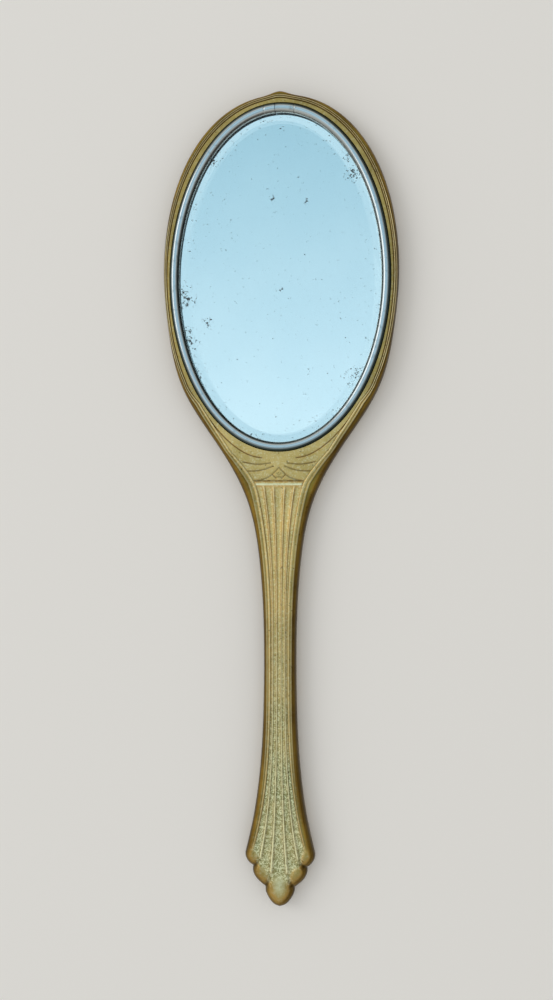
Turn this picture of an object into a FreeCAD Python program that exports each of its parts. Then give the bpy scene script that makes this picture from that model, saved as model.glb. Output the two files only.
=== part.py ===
import FreeCAD, Part
import math
import os

# Oval hand mirror with a flat stamped handle that ends in a fan of five lobes.
# Millimetres. X is across the mirror, +Y points to the crest at the top of the head and +Z out of
# the glass. The origin is under the centre of the oval, on the flat back that the mirror lies on.

V = FreeCAD.Vector

# ---- driving dimensions -------------------------------------------------------------------------
# outline of the pressed body
HEAD_HALF_WIDTH = 50.3      # widest half of the head
HEAD_TOP = 77.6             # shoulder line of the head above the oval's centre, without the crest
HEAD_FULLNESS = 2.15        # exponent of the head's upper curve: 2 is a plain ellipse
WIDEST_Y = 2.0              # the head is widest just above the oval's centre
CREST_RISE = 1.5            # small pointed crest on top of the head
CREST_SPREAD = 4.2
WAIST_HALF_WIDTH = 6.9      # narrowest half of the handle
WAIST_DROP = 81.4           # from the bottom of the well down to the waist
GRIP_LENGTH = 88.5          # from the waist down to the fan's widest line
FAN_HALF_WIDTH = 14.9       # widest half of the fan at the handle's end
FAN_DEPTH = 15.5            # the fan's plate runs this far past its widest line
FAN_CORNER = 3.7            # rounding of the plate's three corners
LOBE_TIP = 22.5             # the middle lobe's tip, past the fan's widest line

# the flank from the head to the waist: share of the way down, share of the width that is left
FLANK = ((0.137, 0.959), (0.299, 0.821), (0.462, 0.460), (0.611, 0.168), (0.773, 0.045))

# pressed sheets
SHEET = 0.8                 # brass sheet of both shells
SEAM_FILM = 0.15            # solder between the two shells
BACK_ROUND = 3.0            # rolled edge of the back
FRONT_ROUND = 2.6           # rolled edge of the front
FIT = 0.3                   # looseness of the pieces inside

# oval well for the glass
RIM_SIDE = 3.1              # face of the head beside the well
RIM_TOP = 4.0               # and above it
LEDGE_WIDTH = 2.5
LEDGE_THICK = 0.8

# bezel ring
RING_FIT = 0.1
RING_WIDTH = 4.0
RING_DEPTH = 2.5            # thickness of the bead
LIP_CLEAR = 0.05            # the bead's lip over the bevel of the glass
SKIRT = 0.6
JOINT_GAP = 0.25            # butt joint of the ring, just left of the crest
JOINT_X = -1.7
SPLICE_HALF = 6.4           # strap behind the butt joint

# glass and its backing
PACKING = 0.3               # between the ring's skirt and the edge of the glass
PACKING_FIT = 0.06
CARD_THICK = 1.0
PAINT_THICK = 0.1
SILVER_THICK = 0.1
GLASS_THICK = 3.2
GLASS_SINK = 0.8            # top of the glass below the flat face of the front
BEVEL_WIDTH = 6.6
BEVEL_DROP = 1.0

# inside the handle
BRACE_THICK = 1.2
BRACE_LIFT = 0.4            # between the brace and the back
BRACE_SIDE_GAP = 2.3
BRACE_REACH = 14.2          # from the top of the neck bar to the brace's end
CORE_GAP = 4.0              # from the brace's end to the wooden core
CORE_STOP = 5.5             # the core and the rod end this far before the fan's widest line
ROD_RADIUS = 1.5
ROD_FIT = 0.1

# raised lines of the handle and neck
RIB_HEIGHT = 0.3
RIB_WIDTH = 0.6
FIELD_MARGIN = 2.9          # from the outline to the fluted field, at the waist and at the fan
NECK_WIDENING = 3.3         # the field's half is this much wider than the waist's under the neck bar
NECK_SPREAD = 2.6           # how late the field widens towards the neck
FAN_SPREAD = 3.4            # and towards the fan
RIDGE_SHARES = (-0.64, -0.235, 0.235, 0.64)
RIDGE_PAST = 2.3            # the ridges run this far past the fan's widest line
REED_STOP = 5.5             # the reeds stop this far before it
REED_STEP = 1.25            # from the field's edge reed to the outer reed
BAR_DROP = 12.2             # from the bottom of the well down to the neck's cross bar
BAR_DEPTH = 2.1
BAR_HALF = 11.0

# lobes of the fan: in from the fan's side, past the fan's widest line, half width, half length
OUTER_LOBE = (2.7, 1.6, 2.9, 3.2)
MIDDLE_LOBE = (7.3, 8.7, 3.8, 4.4)
TIP_LOBE_HALF_WIDTH = 6.0
TIP_LOBE_HALF_LENGTH = 7.2
LOBE_CLEAR = 0.35           # the lobes stop this far inside the two flat faces
LOBE_ROUND = 0.85           # rounding of a lobe as a share of the most that its outline takes

# ---- derived places -----------------------------------------------------------------------------
WELL_A = HEAD_HALF_WIDTH - RIM_SIDE
WELL_B = HEAD_TOP - RIM_TOP
WAIST_Y = -WELL_B - WAIST_DROP
FAN_Y = WAIST_Y - GRIP_LENGTH
BAR_TOP_Y = -WELL_B - BAR_DROP
BAR_END_Y = BAR_TOP_Y - BAR_DEPTH
BRACE_END_Y = BAR_TOP_Y - BRACE_REACH
CORE_TOP_Y = BRACE_END_Y - CORE_GAP
CORE_END_Y = FAN_Y + CORE_STOP

LEDGE_Z = SHEET + BRACE_LIFT + BRACE_THICK
LEDGE_TOP_Z = LEDGE_Z + LEDGE_THICK
CARD_TOP_Z = LEDGE_TOP_Z + CARD_THICK
PAINT_TOP_Z = CARD_TOP_Z + PAINT_THICK
SILVER_TOP_Z = PAINT_TOP_Z + SILVER_THICK
GLASS_TOP_Z = SILVER_TOP_Z + GLASS_THICK
RIM_Z = GLASS_TOP_Z - BEVEL_DROP
TOP_Z = GLASS_TOP_Z + GLASS_SINK
SEAM_Z = TOP_Z / 2
FRONT_Z = SEAM_Z + SEAM_FILM
ROD_Z = LEDGE_Z + ROD_RADIUS

SKIRT_IN = RING_FIT + SKIRT
GLASS_IN = SKIRT_IN + PACKING
RING_BASE_Z = RIM_Z + BEVEL_DROP * (RING_FIT + RING_WIDTH - GLASS_IN) / BEVEL_WIDTH + LIP_CLEAR
RING_CREST_Z = RING_BASE_Z + RING_DEPTH
FIELD_WAIST = WAIST_HALF_WIDTH - FIELD_MARGIN
FIELD_NECK = WAIST_HALF_WIDTH + NECK_WIDENING
FIELD_FAN = FAN_HALF_WIDTH - FIELD_MARGIN
FAR = 400.0                 # larger than the whole part


def save(name, shape):
    """Writes one node after checking that it is whole."""
    if not shape.isValid() or not shape.Solids:
        raise ValueError(name + " is not a valid solid")
    shape.exportStep("parts/" + name + ".step")
    box = shape.BoundBox
    print("%-14s %d solid(s) %9.1f mm3  z %.2f to %.2f" % (
        name, len(shape.Solids), shape.Volume, box.ZMin, box.ZMax))


# ---- outline ------------------------------------------------------------------------------------
def head_points(count=16):
    """The head's right upper quarter from the crest to the widest line, closest at the crest."""
    points = []
    for i in range(count):
        t = math.pi / 2 * (1 - (i / (count - 1.0)) ** 2)
        x = HEAD_HALF_WIDTH * math.cos(t) ** (2 / HEAD_FULLNESS) if i else 0.0
        y = WIDEST_Y + (HEAD_TOP - WIDEST_Y) * math.sin(t) ** (2 / HEAD_FULLNESS)
        points.append(V(x, y + CREST_RISE * math.exp(-(x / CREST_SPREAD) ** 2), 0))
    return points


def handle_points():
    """From the widest line of the head down to the fan's widest line."""
    run = WIDEST_Y - WAIST_Y
    loss = HEAD_HALF_WIDTH - WAIST_HALF_WIDTH
    points = [V(WAIST_HALF_WIDTH + loss * left, WIDEST_Y - run * down, 0) for down, left in FLANK]
    for share in (0.0, 0.25, 0.5, 0.7, 0.85, 1.0):
        widening = (FAN_HALF_WIDTH - WAIST_HALF_WIDTH) * share ** 3
        points.append(V(WAIST_HALF_WIDTH + widening, WAIST_Y + (FAN_Y - WAIST_Y) * share, 0))
    return points


def sides_curve():
    """Both sides of the outline as one smooth curve, from the left of the fan over the crest."""
    right = head_points() + handle_points()
    curve = Part.BSplineCurve()
    curve.interpolate([V(-p.x, p.y, 0) for p in reversed(right[1:])] + right)
    return curve


SIDES = sides_curve()


def outward(parameter):
    """The direction out of the body at a place on the sides' curve."""
    along = SIDES.tangent(parameter)[0]
    return V(-along.y, along.x, 0)


def inset_sides(inset, count=127):
    """Both sides moved inwards along their normals."""
    if not inset:
        return SIDES
    curve = Part.BSplineCurve()
    places = [SIDES.parameter(point) for point in SIDES.discretize(Number=count)]
    curve.interpolate([SIDES.value(u) - outward(u) * inset for u in places])
    return curve


def fan_end(inset):
    """The fan's end, round three corners: its edges from the right side back to the left side."""
    start = outward(SIDES.LastParameter)
    corner = SIDES.EndPoint - start * FAN_CORNER
    middle = V(0, FAN_Y - FAN_DEPTH + FAN_CORNER, 0)
    run = middle - corner
    turn = math.atan2(run.x, -run.y)
    first = math.atan2(start.y, start.x)
    radius = FAN_CORNER - inset

    def arc(centre, angles):
        return Part.Arc(*[centre + V(math.cos(a), math.sin(a), 0) * radius for a in angles])

    rounded = arc(corner, (first, (first + turn) / 2, turn))
    tip = arc(middle, (turn, -math.pi / 2, -math.pi - turn))
    flat = Part.LineSegment(rounded.EndPoint, tip.StartPoint)
    sides = [rounded.toShape(), flat.toShape()]
    return sides + [tip.toShape()] + [edge.mirror(V(0, 0, 0), V(1, 0, 0)) for edge in sides]


def outline(inset, z):
    """The whole outline, moved inwards, as a wire at one height."""
    edges = [inset_sides(inset).toShape()] + fan_end(inset)
    wire = Part.Wire(Part.__sortEdges__(edges))
    wire.translate(V(0, 0, z))
    return wire


def slab(inset, low, high):
    return Part.Face(outline(inset, low)).extrude(V(0, 0, high - low))


def half_space(low, high):
    return Part.makeBox(2 * FAR, 2 * FAR, high - low, V(-FAR, -FAR, low))


def strip_of_y(first, last):
    return Part.makeBox(2 * FAR, abs(last - first), 40, V(-FAR, min(first, last), -20))


# ---- the pressed body ---------------------------------------------------------------------------
def lobe(x, y, half_width, half_length, inset):
    """One lobe of the fan, an oval boss with both edges rounded as far as its outline allows."""
    half_thick = TOP_Z / 2 - LOBE_CLEAR
    rounding = min(LOBE_ROUND * half_width ** 2 / half_length, LOBE_ROUND * half_thick)
    low, high = TOP_Z / 2 - half_thick + inset, TOP_Z / 2 + half_thick - inset
    ends = [V(0, half_length - inset, 0), V(half_width - inset, 0, 0), V(0, 0, 0)]
    boss = Part.Face(Part.Wire([Part.Ellipse(*ends).toShape()]))
    boss.translate(V(x, y, low))
    boss = boss.extrude(V(0, 0, high - low))
    rims = [e for e in boss.Edges if e.BoundBox.ZLength < 1e-3]
    return boss.makeFillet(rounding - inset, rims)


def lobes(inset):
    found = []
    for side in (-1, 1):
        for from_side, down, half_width, half_length in (OUTER_LOBE, MIDDLE_LOBE):
            x = side * (FAN_HALF_WIDTH - from_side)
            found.append(lobe(x, FAN_Y - down, half_width, half_length, inset))
    tip_y = FAN_Y - LOBE_TIP + TIP_LOBE_HALF_LENGTH
    found.append(lobe(0, tip_y, TIP_LOBE_HALF_WIDTH, TIP_LOBE_HALF_LENGTH, inset))
    return found


def body(inset, with_lobes=True):
    """The body without its well: a plate with both edges rolled, and the lobes."""
    plate = slab(inset, inset, TOP_Z - inset)
    back_rim = [e for e in plate.Edges if e.BoundBox.ZMax < inset + 1e-3]
    plate = plate.makeFillet(BACK_ROUND - inset, back_rim)
    front_rim = [e for e in plate.Edges if e.BoundBox.ZMin > TOP_Z - inset - 1e-3]
    plate = plate.makeFillet(FRONT_ROUND - inset, front_rim)
    return plate.fuse(lobes(inset)) if with_lobes else plate


def oval_wire(inward, z):
    """The well's oval with both half axes shorter by the same amount."""
    centre = V(0, 0, z)
    ellipse = Part.Ellipse(V(0, WELL_B - inward, z), V(WELL_A - inward, 0, z), centre)
    return Part.Wire([ellipse.toShape()])


def oval(inward, low, high):
    return Part.Face(oval_wire(inward, low)).extrude(V(0, 0, high - low))


def oval_band(outer, inner, low, high):
    return oval(outer, low, high).cut(oval(inner, low, high))


# ---- raised lines -------------------------------------------------------------------------------
def field_half(y):
    """Half width of the fluted field at a place along the handle."""
    if y > WAIST_Y:
        share = (y - WAIST_Y) / (BAR_END_Y - WAIST_Y)
        return FIELD_WAIST + (FIELD_NECK - FIELD_WAIST) * share ** NECK_SPREAD
    share = (WAIST_Y - y) / (WAIST_Y - FAN_Y)
    return FIELD_WAIST + (FIELD_FAN - FIELD_WAIST) * share ** FAN_SPREAD


def rib(x_of_y, end_y, count=13):
    """A raised line along the handle on the front's flat face, from just under the neck bar."""
    start_y = BAR_END_Y - RIB_WIDTH
    stations = [start_y + (end_y - start_y) * i / (count - 1.0) for i in range(count)]
    edges = []
    for side in (-1, 1):
        curve = Part.BSplineCurve()
        curve.interpolate([V(x_of_y(y) + side * RIB_WIDTH / 2, y, 0) for y in stations])
        edges.append(curve)
    left, right = edges
    top = Part.makeLine(left.StartPoint, right.StartPoint)
    bottom = Part.makeLine(left.EndPoint, right.EndPoint)
    wire = Part.Wire([left.toShape(), bottom, right.toShape(), top])
    shape = Part.Face(wire).extrude(V(0, 0, RIB_HEIGHT + SHEET / 2))
    shape.translate(V(0, 0, TOP_Z - SHEET / 2))
    return shape


def raised_lines():
    ridge_end = FAN_Y - RIDGE_PAST
    reed_end = FAN_Y + REED_STOP
    found = [rib(lambda y, s=share: s * field_half(y), ridge_end) for share in RIDGE_SHARES]
    for side in (-1, 1):
        found.append(rib(lambda y, s=side: s * field_half(y), reed_end))
        found.append(rib(lambda y, s=side: s * (field_half(y) + REED_STEP), reed_end))
    bar_corner = V(-BAR_HALF, BAR_END_Y, TOP_Z - SHEET / 2)
    return found + [Part.makeBox(2 * BAR_HALF, BAR_DEPTH, RIB_HEIGHT + SHEET / 2, bar_corner)]


# ---- pieces -------------------------------------------------------------------------------------
def shells():
    """The pressed front with its well, the solder along the seam, and the pressed back."""
    hollow = body(0).cut(body(SHEET))
    front = hollow.common(half_space(FRONT_Z, TOP_Z + 1))
    front = front.cut(oval(0, 0, TOP_Z + 1))
    well = oval_band(-SHEET, 0, LEDGE_Z, TOP_Z)
    ledge = oval_band(0, LEDGE_WIDTH, LEDGE_Z, LEDGE_TOP_Z)
    front = front.fuse([well, ledge] + raised_lines()).removeSplitter()
    solder = hollow.common(half_space(SEAM_Z, FRONT_Z))
    back = hollow.common(half_space(-1, SEAM_Z))
    return front, solder, back


def bezel_ring():
    """Half-round bead with a skirt that is pushed down into the well, open at its butt joint."""
    bead = oval_band(RING_FIT, RING_FIT + RING_WIDTH, RING_BASE_Z, RING_CREST_Z)
    rims = [e for e in bead.Edges if e.BoundBox.ZMin > RING_CREST_Z - 1e-4]
    bead = bead.makeFillet(RING_WIDTH / 2 - 0.1, rims)
    skirt = oval_band(RING_FIT, SKIRT_IN, LEDGE_TOP_Z, RING_BASE_Z)
    gap = Part.makeBox(JOINT_GAP, WELL_B, 20, V(JOINT_X - JOINT_GAP / 2, 1, -1))
    return bead.fuse(skirt).cut(gap).removeSplitter()


def packing_band():
    return oval_band(SKIRT_IN + PACKING_FIT, GLASS_IN - PACKING_FIT, CARD_TOP_Z, RIM_Z)


def splice_block(margin):
    return Part.makeBox(2 * (SPLICE_HALF + margin), 2 * WELL_B, 40, V(-SPLICE_HALF - margin, 0, -20))


def bezel_splice():
    """Strap inside the skirt behind the ring's butt joint."""
    return packing_band().common(splice_block(0))


def edge_packing():
    """Paper strip round the rest of the glass."""
    return packing_band().cut(splice_block(FIT))


def mirror_glass():
    """Plate glass with a wide bevel ground round its front."""
    wires = [oval_wire(GLASS_IN, SILVER_TOP_Z), oval_wire(GLASS_IN, RIM_Z),
             oval_wire(GLASS_IN + BEVEL_WIDTH, GLASS_TOP_Z)]
    return Part.makeLoft(wires, True, True)


def wadding_pad():
    return oval(LEDGE_WIDTH + FIT, SHEET, LEDGE_TOP_Z)


def neck_brace():
    """Steel plate under the well's ledge that carries the handle's rod."""
    plate = slab(BRACE_SIDE_GAP, LEDGE_Z - BRACE_THICK, LEDGE_Z)
    plate = plate.common(strip_of_y(LEDGE_WIDTH - WELL_B, BRACE_END_Y))
    return plate.cut(oval(LEDGE_WIDTH, 0, LEDGE_Z))


def rod(radius):
    length = -(WELL_B + SHEET + FIT) - CORE_END_Y
    return Part.makeCylinder(radius, length, V(0, CORE_END_Y, ROD_Z), V(0, 1, 0))


def handle_core():
    """Wooden filler of the handle, bored for the rod."""
    core = body(SHEET + FIT, False).common(strip_of_y(CORE_TOP_Y, CORE_END_Y))
    return core.cut(rod(ROD_RADIUS + ROD_FIT))


os.makedirs("parts", exist_ok=True)
for node, piece in zip(("front_shell", "seam_solder", "back_shell"), shells()):
    save(node, piece)
save("bezel_ring", bezel_ring())
save("bezel_splice", bezel_splice())
save("mirror_glass", mirror_glass())
save("silvering", oval(GLASS_IN, PAINT_TOP_Z, SILVER_TOP_Z))
save("backing_paint", oval(GLASS_IN, CARD_TOP_Z, PAINT_TOP_Z))
save("edge_packing", edge_packing())
save("backing_card", oval(GLASS_IN, LEDGE_TOP_Z, CARD_TOP_Z))
save("wadding_pad", wadding_pad())
save("neck_brace", neck_brace())
save("handle_core", handle_core())
save("handle_rod", rod(ROD_RADIUS))
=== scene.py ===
"""Oval hand mirror: pressed brass body with a fluted handle, nickel bezel ring and bevelled plate glass.

Lengths in the geometry functions are millimetres and become metres as a mesh is finished.
X is across the mirror, +Y points to the crest and +Z out of the glass.
"""

import math

import bmesh
import bpy
import numpy as np
from mathutils import Matrix, Vector


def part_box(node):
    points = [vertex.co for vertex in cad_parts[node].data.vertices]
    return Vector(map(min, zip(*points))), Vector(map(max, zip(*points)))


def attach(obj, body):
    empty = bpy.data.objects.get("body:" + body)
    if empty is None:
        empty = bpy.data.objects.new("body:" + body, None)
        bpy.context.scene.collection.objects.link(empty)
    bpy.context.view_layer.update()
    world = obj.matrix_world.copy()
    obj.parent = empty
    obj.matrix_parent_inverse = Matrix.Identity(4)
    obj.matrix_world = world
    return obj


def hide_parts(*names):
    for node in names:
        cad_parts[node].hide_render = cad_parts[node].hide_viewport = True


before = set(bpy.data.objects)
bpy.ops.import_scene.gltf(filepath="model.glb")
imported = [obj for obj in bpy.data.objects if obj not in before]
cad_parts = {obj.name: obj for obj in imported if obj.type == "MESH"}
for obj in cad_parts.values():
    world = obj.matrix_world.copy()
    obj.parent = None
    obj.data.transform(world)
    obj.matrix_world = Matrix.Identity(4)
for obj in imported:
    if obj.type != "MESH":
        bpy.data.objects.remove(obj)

bl_info = {
    "name": "Hand mirror",
    "version": (1, 0, 0),
    "blender": (4, 5, 0),
    "location": "3D View > Sidebar > Hand Mirror",
    "description": "Builds the visible pieces of an oval brass hand mirror round its packed model",
    "category": "Object",
}

MM = 0.001
BODY = "root"


def corner(node_name, which):
    """Lowest (0) or highest (1) corner of a CAD node, in millimetres."""
    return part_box(node_name)[which] / MM


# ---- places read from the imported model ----
FRONT_HIGH = corner("front_shell", 1)
FRONT_LOW = corner("front_shell", 0)
BACK_HIGH = corner("back_shell", 1)
RING_HIGH = corner("bezel_ring", 1)
GLASS_HIGH = corner("mirror_glass", 1)
GLASS_LOW = corner("mirror_glass", 0)
SEAM_HIGH = corner("seam_solder", 1)
LEDGE_TOP = corner("backing_card", 0).z

# ---- sizes of the body that both shells share ----
GLASS_GAP = 1.0             # from the well to the edge of the glass
WELL_A = GLASS_HIGH.x + GLASS_GAP
WELL_B = GLASS_HIGH.y + GLASS_GAP
RIB_HEIGHT = 0.3            # the ridges stand this far over the front's face
FACE_Z = FRONT_HIGH.z - RIB_HEIGHT
CREST_RISE = 1.5
CREST_SPREAD = 4.2
HEAD_HALF = FRONT_HIGH.x
HEAD_TOP = FRONT_HIGH.y - CREST_RISE
HEAD_FULLNESS = 2.15
WIDEST_Y = 2.0
LOBE_TIP = 22.5
FAN_Y = FRONT_LOW.y + LOBE_TIP
WAIST_Y = FAN_Y + 88.5
WAIST_HALF = 6.9
FAN_HALF = 14.9
FLANK = ((0.137, 0.959), (0.299, 0.821), (0.462, 0.460), (0.611, 0.168), (0.773, 0.045))
FAN_SHARES = (0.0, 0.25, 0.5, 0.7, 0.85, 1.0)

# outlines of the outer, the middle and the tip lobe: x and distance past FAN_Y
LOBE_LINES = (
    ((14.9, 0.0), (14.85, 1.4), (14.2, 3.0), (13.1, 4.4), (11.5, 5.6)),
    ((11.5, 5.6), (11.65, 7.3), (11.1, 9.3), (9.7, 11.3), (7.9, 12.9), (6.3, 14.2)),
    ((6.3, 14.2), (6.1, 16.2), (4.8, 19.0), (2.6, 21.5), (0.0, LOBE_TIP)),
)
# where each lobe swells: x, distance past FAN_Y, half width, half length, how far it rises
LOBES = (
    (12.7, 1.6, 3.3, 4.0, 0.25),
    (8.7, 9.8, 3.9, 4.9, 0.3),
    (0.0, 17.0, 5.6, 7.2, 0.35),
)
# creases that run from the notches up to the ends of the ridges
CREASES = (((11.6, 5.6), (9.9, 4.3), (8.7, 2.0)), ((6.4, 14.3), (4.9, 11.9), (3.5, 8.3)))

BAR_TOP_Y = -WELL_B - 12.2
BAR_END_Y = BAR_TOP_Y - 2.1
BAR_HALF = 11.3
FIELD_MARGIN = 2.9
FIELD_WAIST = WAIST_HALF - FIELD_MARGIN
FIELD_NECK = WAIST_HALF + 3.3
FIELD_FAN = FAN_HALF - FIELD_MARGIN
NECK_SPREAD = 2.6
FAN_SPREAD = 3.4
RIDGE_SHARES = (0.235, 0.64)
RIDGE_ENDS = (8.4, 2.3)     # how far past FAN_Y each ridge runs
REED_STOP = 5.5             # the reeds fade out this far before FAN_Y
REED_HALF = 0.42            # half width of a reed
NECK_START_Y = -45.0        # below this the face widens into the neck plate
ROLL_POWER = 2.3            # 2 makes the rolled edge a quarter of an ellipse; more is fuller

# ---- how finely the shells are laid out ----
CREST_LENGTH = 16.0         # the closely spaced rows of the crest end here, along the outline
CREST_ROWS = 26
HEAD_ROWS = 84
NECK_ROWS = 190
HANDLE_ROWS = 160
LOBE_ROWS = (28, 36, 46)
ROLL_COLUMNS = 10
REED_COLUMNS = 5


# ---- small helpers ----
def linear(hex_colour):
    """sRGB hex to the linear RGBA that the shaders take."""
    values = [int(hex_colour[i:i + 2], 16) / 255 for i in (1, 3, 5)]
    return tuple(v / 12.92 if v <= 0.04045 else ((v + 0.055) / 1.055) ** 2.4 for v in values) + (1.0,)


def spline_through(points, count):
    """A natural cubic spline through the points, by chord length, sampled evenly."""
    p = np.array(points, float)
    t = np.r_[0, np.cumsum(np.hypot(*np.diff(p, axis=0).T))]
    n, h = len(p), np.diff(t)
    matrix, right = np.eye(n), np.zeros_like(p)
    for i in range(1, n - 1):
        matrix[i, i - 1:i + 2] = h[i - 1], 2 * (h[i - 1] + h[i]), h[i]
        right[i] = 6 * ((p[i + 1] - p[i]) / h[i] - (p[i] - p[i - 1]) / h[i - 1])
    m = np.linalg.solve(matrix, right)
    u = np.linspace(0, t[-1], count)
    k = np.clip(np.searchsorted(t, u) - 1, 0, n - 2)
    a, b, hk = (t[k + 1] - u)[:, None], (u - t[k])[:, None], h[k][:, None]
    curve = (m[k] * a ** 3 + m[k + 1] * b ** 3) / (6 * hk)
    return curve + (p[k] / hk - m[k] * hk / 6) * a + (p[k + 1] / hk - m[k + 1] * hk / 6) * b


def ease(x, low, high):
    """0 below low, 1 above high and smooth between them."""
    s = np.clip((x - low) / (high - low), 0, 1)
    return s * s * (3 - 2 * s)


def bump(distance, half_width):
    """A rounded ridge: 1 on its line and 0 at its feet."""
    return np.clip(1 - (distance / half_width) ** 2, 0, 1) ** 1.5


def roll(inset, width):
    """Share of the full height that a rolled edge reaches at an inset from the outline."""
    return (1 - np.clip(1 - inset / width, 0, 1) ** ROLL_POWER) ** (1 / ROLL_POWER)


def unit(vectors):
    """The same vectors, each made one long."""
    return vectors / np.hypot(*vectors.T)[:, None]


def outward(curve):
    """Outward normals of a curve that runs down the right side."""
    along = unit(np.gradient(curve, axis=0))
    return np.column_stack([-along[:, 1], along[:, 0]])


# ---- outline ----
def right_side(count=6000):
    """The outline's right side from the crest to the fan, its outward normals and its lengths."""
    points = []
    for i in range(16):
        t = math.pi / 2 * (1 - (i / 15) ** 2)
        x = HEAD_HALF * math.cos(t) ** (2 / HEAD_FULLNESS) if i else 0.0
        y = WIDEST_Y + (HEAD_TOP - WIDEST_Y) * math.sin(t) ** (2 / HEAD_FULLNESS)
        points.append((x, y + CREST_RISE * math.exp(-(x / CREST_SPREAD) ** 2)))
    for down, left in FLANK:
        half = WAIST_HALF + (HEAD_HALF - WAIST_HALF) * left
        points.append((half, WIDEST_Y - (WIDEST_Y - WAIST_Y) * down))
    for share in FAN_SHARES:
        half = WAIST_HALF + (FAN_HALF - WAIST_HALF) * share ** 3
        points.append((half, WAIST_Y + (FAN_Y - WAIST_Y) * share))
    both = [(-x, y) for x, y in reversed(points[1:])] + points
    side = spline_through(both, 2 * count + 1)[count:]
    side[0, 0] = 0.0
    return side, outward(side), np.r_[0, np.cumsum(np.hypot(*np.diff(side, axis=0).T))]


SIDE, NORMALS, LENGTHS = right_side()


def at_length(s):
    """Outline points and normals at lengths from the crest."""
    points, normals = (np.column_stack([np.interp(s, LENGTHS, line[:, k]) for k in (0, 1)])
                       for line in (SIDE, NORMALS))
    return points, unit(normals)


def length_at_y(y):
    """Length from the crest at which the flank or the handle passes a height."""
    below = SIDE[:, 1] < WIDEST_Y
    return np.interp(-np.asarray(y), -SIDE[below, 1], LENGTHS[below])


def field_half(y):
    """Half width of the fluted field at a place along the handle."""
    up = np.clip((y - WAIST_Y) / (BAR_END_Y - WAIST_Y), 0, None)
    down = np.clip((WAIST_Y - y) / (WAIST_Y - FAN_Y), 0, None)
    above = FIELD_WAIST + (FIELD_NECK - FIELD_WAIST) * up ** NECK_SPREAD
    return np.where(y > WAIST_Y, above, FIELD_WAIST + (FIELD_FAN - FIELD_WAIST) * down ** FAN_SPREAD)


def reed_gap(y):
    """From the field's edge reed to the outer reed."""
    return np.interp(-y, [-BAR_END_Y, 105.0, -WAIST_Y, -FAN_Y], [2.15, 1.74, 1.2, 0.75])


def fan_side():
    """Outline round the lobes on the right, with its outward normals."""
    parts, normals = [], []
    for line, rows in zip(LOBE_LINES, LOBE_ROWS):
        curve = spline_through([(x, FAN_Y - down) for x, down in line], rows + 1)
        parts.append(curve[:-1])
        normals.append(outward(curve)[:-1])
    parts.append([(0.0, FAN_Y - LOBE_TIP)])
    normals.append([(0.0, -1.0)])
    return np.vstack(parts), np.vstack(normals)


def line_distance(xy, line):
    """Distance of every place from a line through points."""
    nearest = np.full(xy.shape[:-1], 1e3)
    for a, b in zip(line[:-1], line[1:]):
        d = b - a
        t = np.clip(((xy - a) @ d) / max(d @ d, 1e-12), 0, 1)
        nearest = np.minimum(nearest, np.hypot(*np.moveaxis(xy - a - t[..., None] * d, -1, 0)))
    return nearest


def follow_fan(inset, xy, outline):
    """Insets whose lower rows are measured from the nearest place on the lobes' edge."""
    lower = outline[:, 1] < FAN_Y + 12
    edge = outline[outline[:, 1] < FAN_Y + 20]
    nearest = line_distance(xy[lower], np.vstack([edge, edge[-2::-1] * (-1.0, 1.0)]))
    mix = ease(FAN_Y - xy[lower][:, :, 1], -10, -2)
    inset[lower] = inset[lower] * (1 - mix) + nearest * mix
    return inset


# ---- layout of a half shell ----
def body_rows():
    """Outer points and outward normals of the head, the neck, the handle and the fan."""
    neck_s, bar_s = length_at_y([NECK_START_Y, BAR_END_Y])
    head_rows = np.r_[np.linspace(0, CREST_LENGTH, CREST_ROWS, endpoint=False),
                      np.linspace(CREST_LENGTH, neck_s, HEAD_ROWS, endpoint=False)]
    neck_rows = np.linspace(neck_s, bar_s, NECK_ROWS, endpoint=False)
    handle_rows = length_at_y(np.linspace(BAR_END_Y, FAN_Y, HANDLE_ROWS, endpoint=False))
    return at_length(head_rows), at_length(neck_rows), at_length(handle_rows), fan_side()


def coarse_rows():
    """Outer points and outward normals all the way down, with every other row of the neck."""
    head, neck, handle, fan = body_rows()
    return (np.vstack([head[k], neck[k][::2], handle[k], fan[k]]) for k in (0, 1))


def oval_point(angle):
    """Points on the edge of the well."""
    return np.column_stack([WELL_A * np.cos(angle), WELL_B * np.sin(angle)])


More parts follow.
